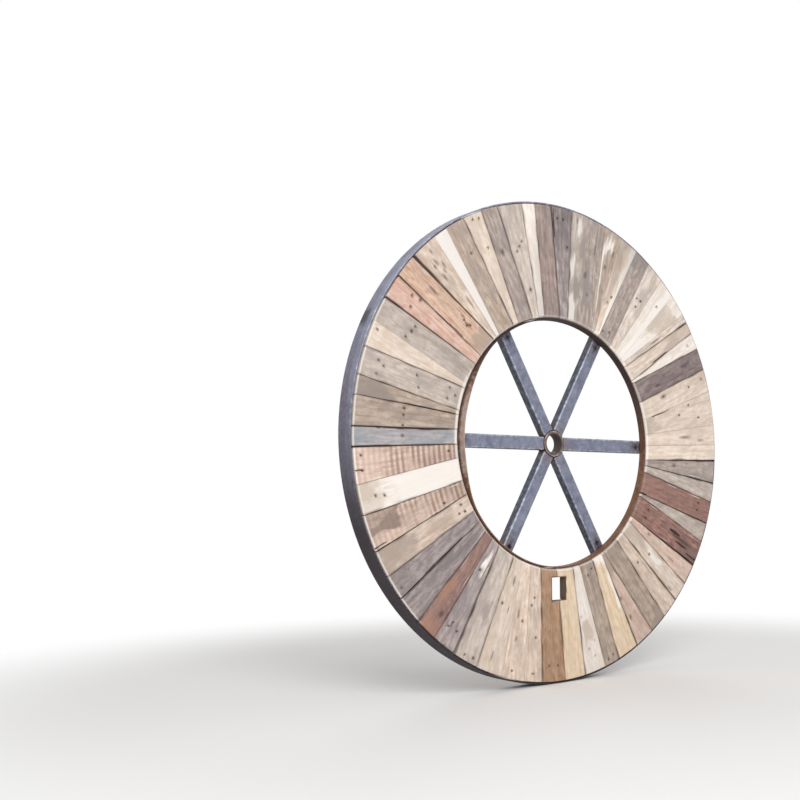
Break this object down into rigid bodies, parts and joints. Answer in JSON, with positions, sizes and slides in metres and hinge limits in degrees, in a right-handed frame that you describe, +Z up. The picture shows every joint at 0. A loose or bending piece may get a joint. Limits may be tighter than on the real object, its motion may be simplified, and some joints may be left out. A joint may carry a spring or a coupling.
{
  "type": "cable drum flange",
  "caption": "Round end flange of a cable drum: radial reclaimed boards held between a steel rim and an inner hoop, on channel spokes round a tubular hub.",
  "frame": {"origin": "bottom centre of the bounding box: under the drum axis, on the floor, half way through the flange's depth", "axes": "+Y along the drum axis, out through the spokes at the back; the board face looks toward -Y; +Z up; +X to the right seen from the board face"},
  "size_m": [2, 0.088, 2],
  "materials": {
    "rim_steel": "bare rolled flat bar, blue-grey mill scale with scuffs and light rust",
    "hoop_steel": "bare flat bar, evenly rusted brown",
    "hub_steel": "bare thick-walled tube, dark and rusty inside",
    "spoke_steel": "bare folded channel, pale blue-grey with paler worn edges",
    "front_wood": "reclaimed rough-sawn boards, weathered cream, tan, grey, salmon and brown",
    "back_wood": "rough-sawn boards, weathered tan and grey"
  },
  "bodies": {
    "root": {"outer_rim_1": "rim_steel", "outer_rim_2": "rim_steel", "outer_rim_3": "rim_steel", "outer_rim_4": "rim_steel", "outer_rim_5": "rim_steel", "outer_rim_6": "rim_steel", "inner_hoop_1": "hoop_steel", "inner_hoop_2": "hoop_steel", "inner_hoop_3": "hoop_steel", "inner_hoop_4": "hoop_steel", "inner_hoop_5": "hoop_steel", "inner_hoop_6": "hoop_steel", "hub_tube": "hub_steel", "spoke_1": "spoke_steel", "spoke_2": "spoke_steel", "spoke_3": "spoke_steel", "spoke_4": "spoke_steel", "spoke_5": "spoke_steel", "spoke_6": "spoke_steel", "front_boards_01": "front_wood", "front_boards_02": "front_wood", "front_boards_03": "front_wood", "front_boards_04": "front_wood", "front_boards_05": "front_wood", "front_boards_06": "front_wood", "front_boards_07": "front_wood", "front_boards_08": "front_wood", "front_boards_09": "front_wood", "front_boards_10": "front_wood", "front_boards_11": "front_wood", "front_boards_12": "front_wood", "front_boards_13": "front_wood", "front_boards_14": "front_wood", "front_boards_15": "front_wood", "front_boards_17": "front_wood", "front_boards_18": "front_wood", "front_boards_19": "front_wood", "front_boards_20": "front_wood", "front_boards_21": "front_wood", "front_boards_22": "front_wood", "front_boards_23": "front_wood", "front_boards_24": "front_wood", "front_boards_25": "front_wood", "front_boards_26": "front_wood", "front_boards_27": "front_wood", "front_boards_28": "front_wood", "front_boards_29": "front_wood", "front_boards_30": "front_wood", "front_board_31": "front_wood", "front_board_32": "front_wood", "back_boards_1": "back_wood", "back_boards_2": "back_wood", "back_boards_3": "back_wood", "back_boards_4": "back_wood", "back_boards_5": "back_wood", "back_boards_6": "back_wood", "back_board_1_inner": "back_wood", "back_board_4_inner": "back_wood", "back_board_4_left": "back_wood", "back_board_4_right": "back_wood"}
  },
  "joints": []
}
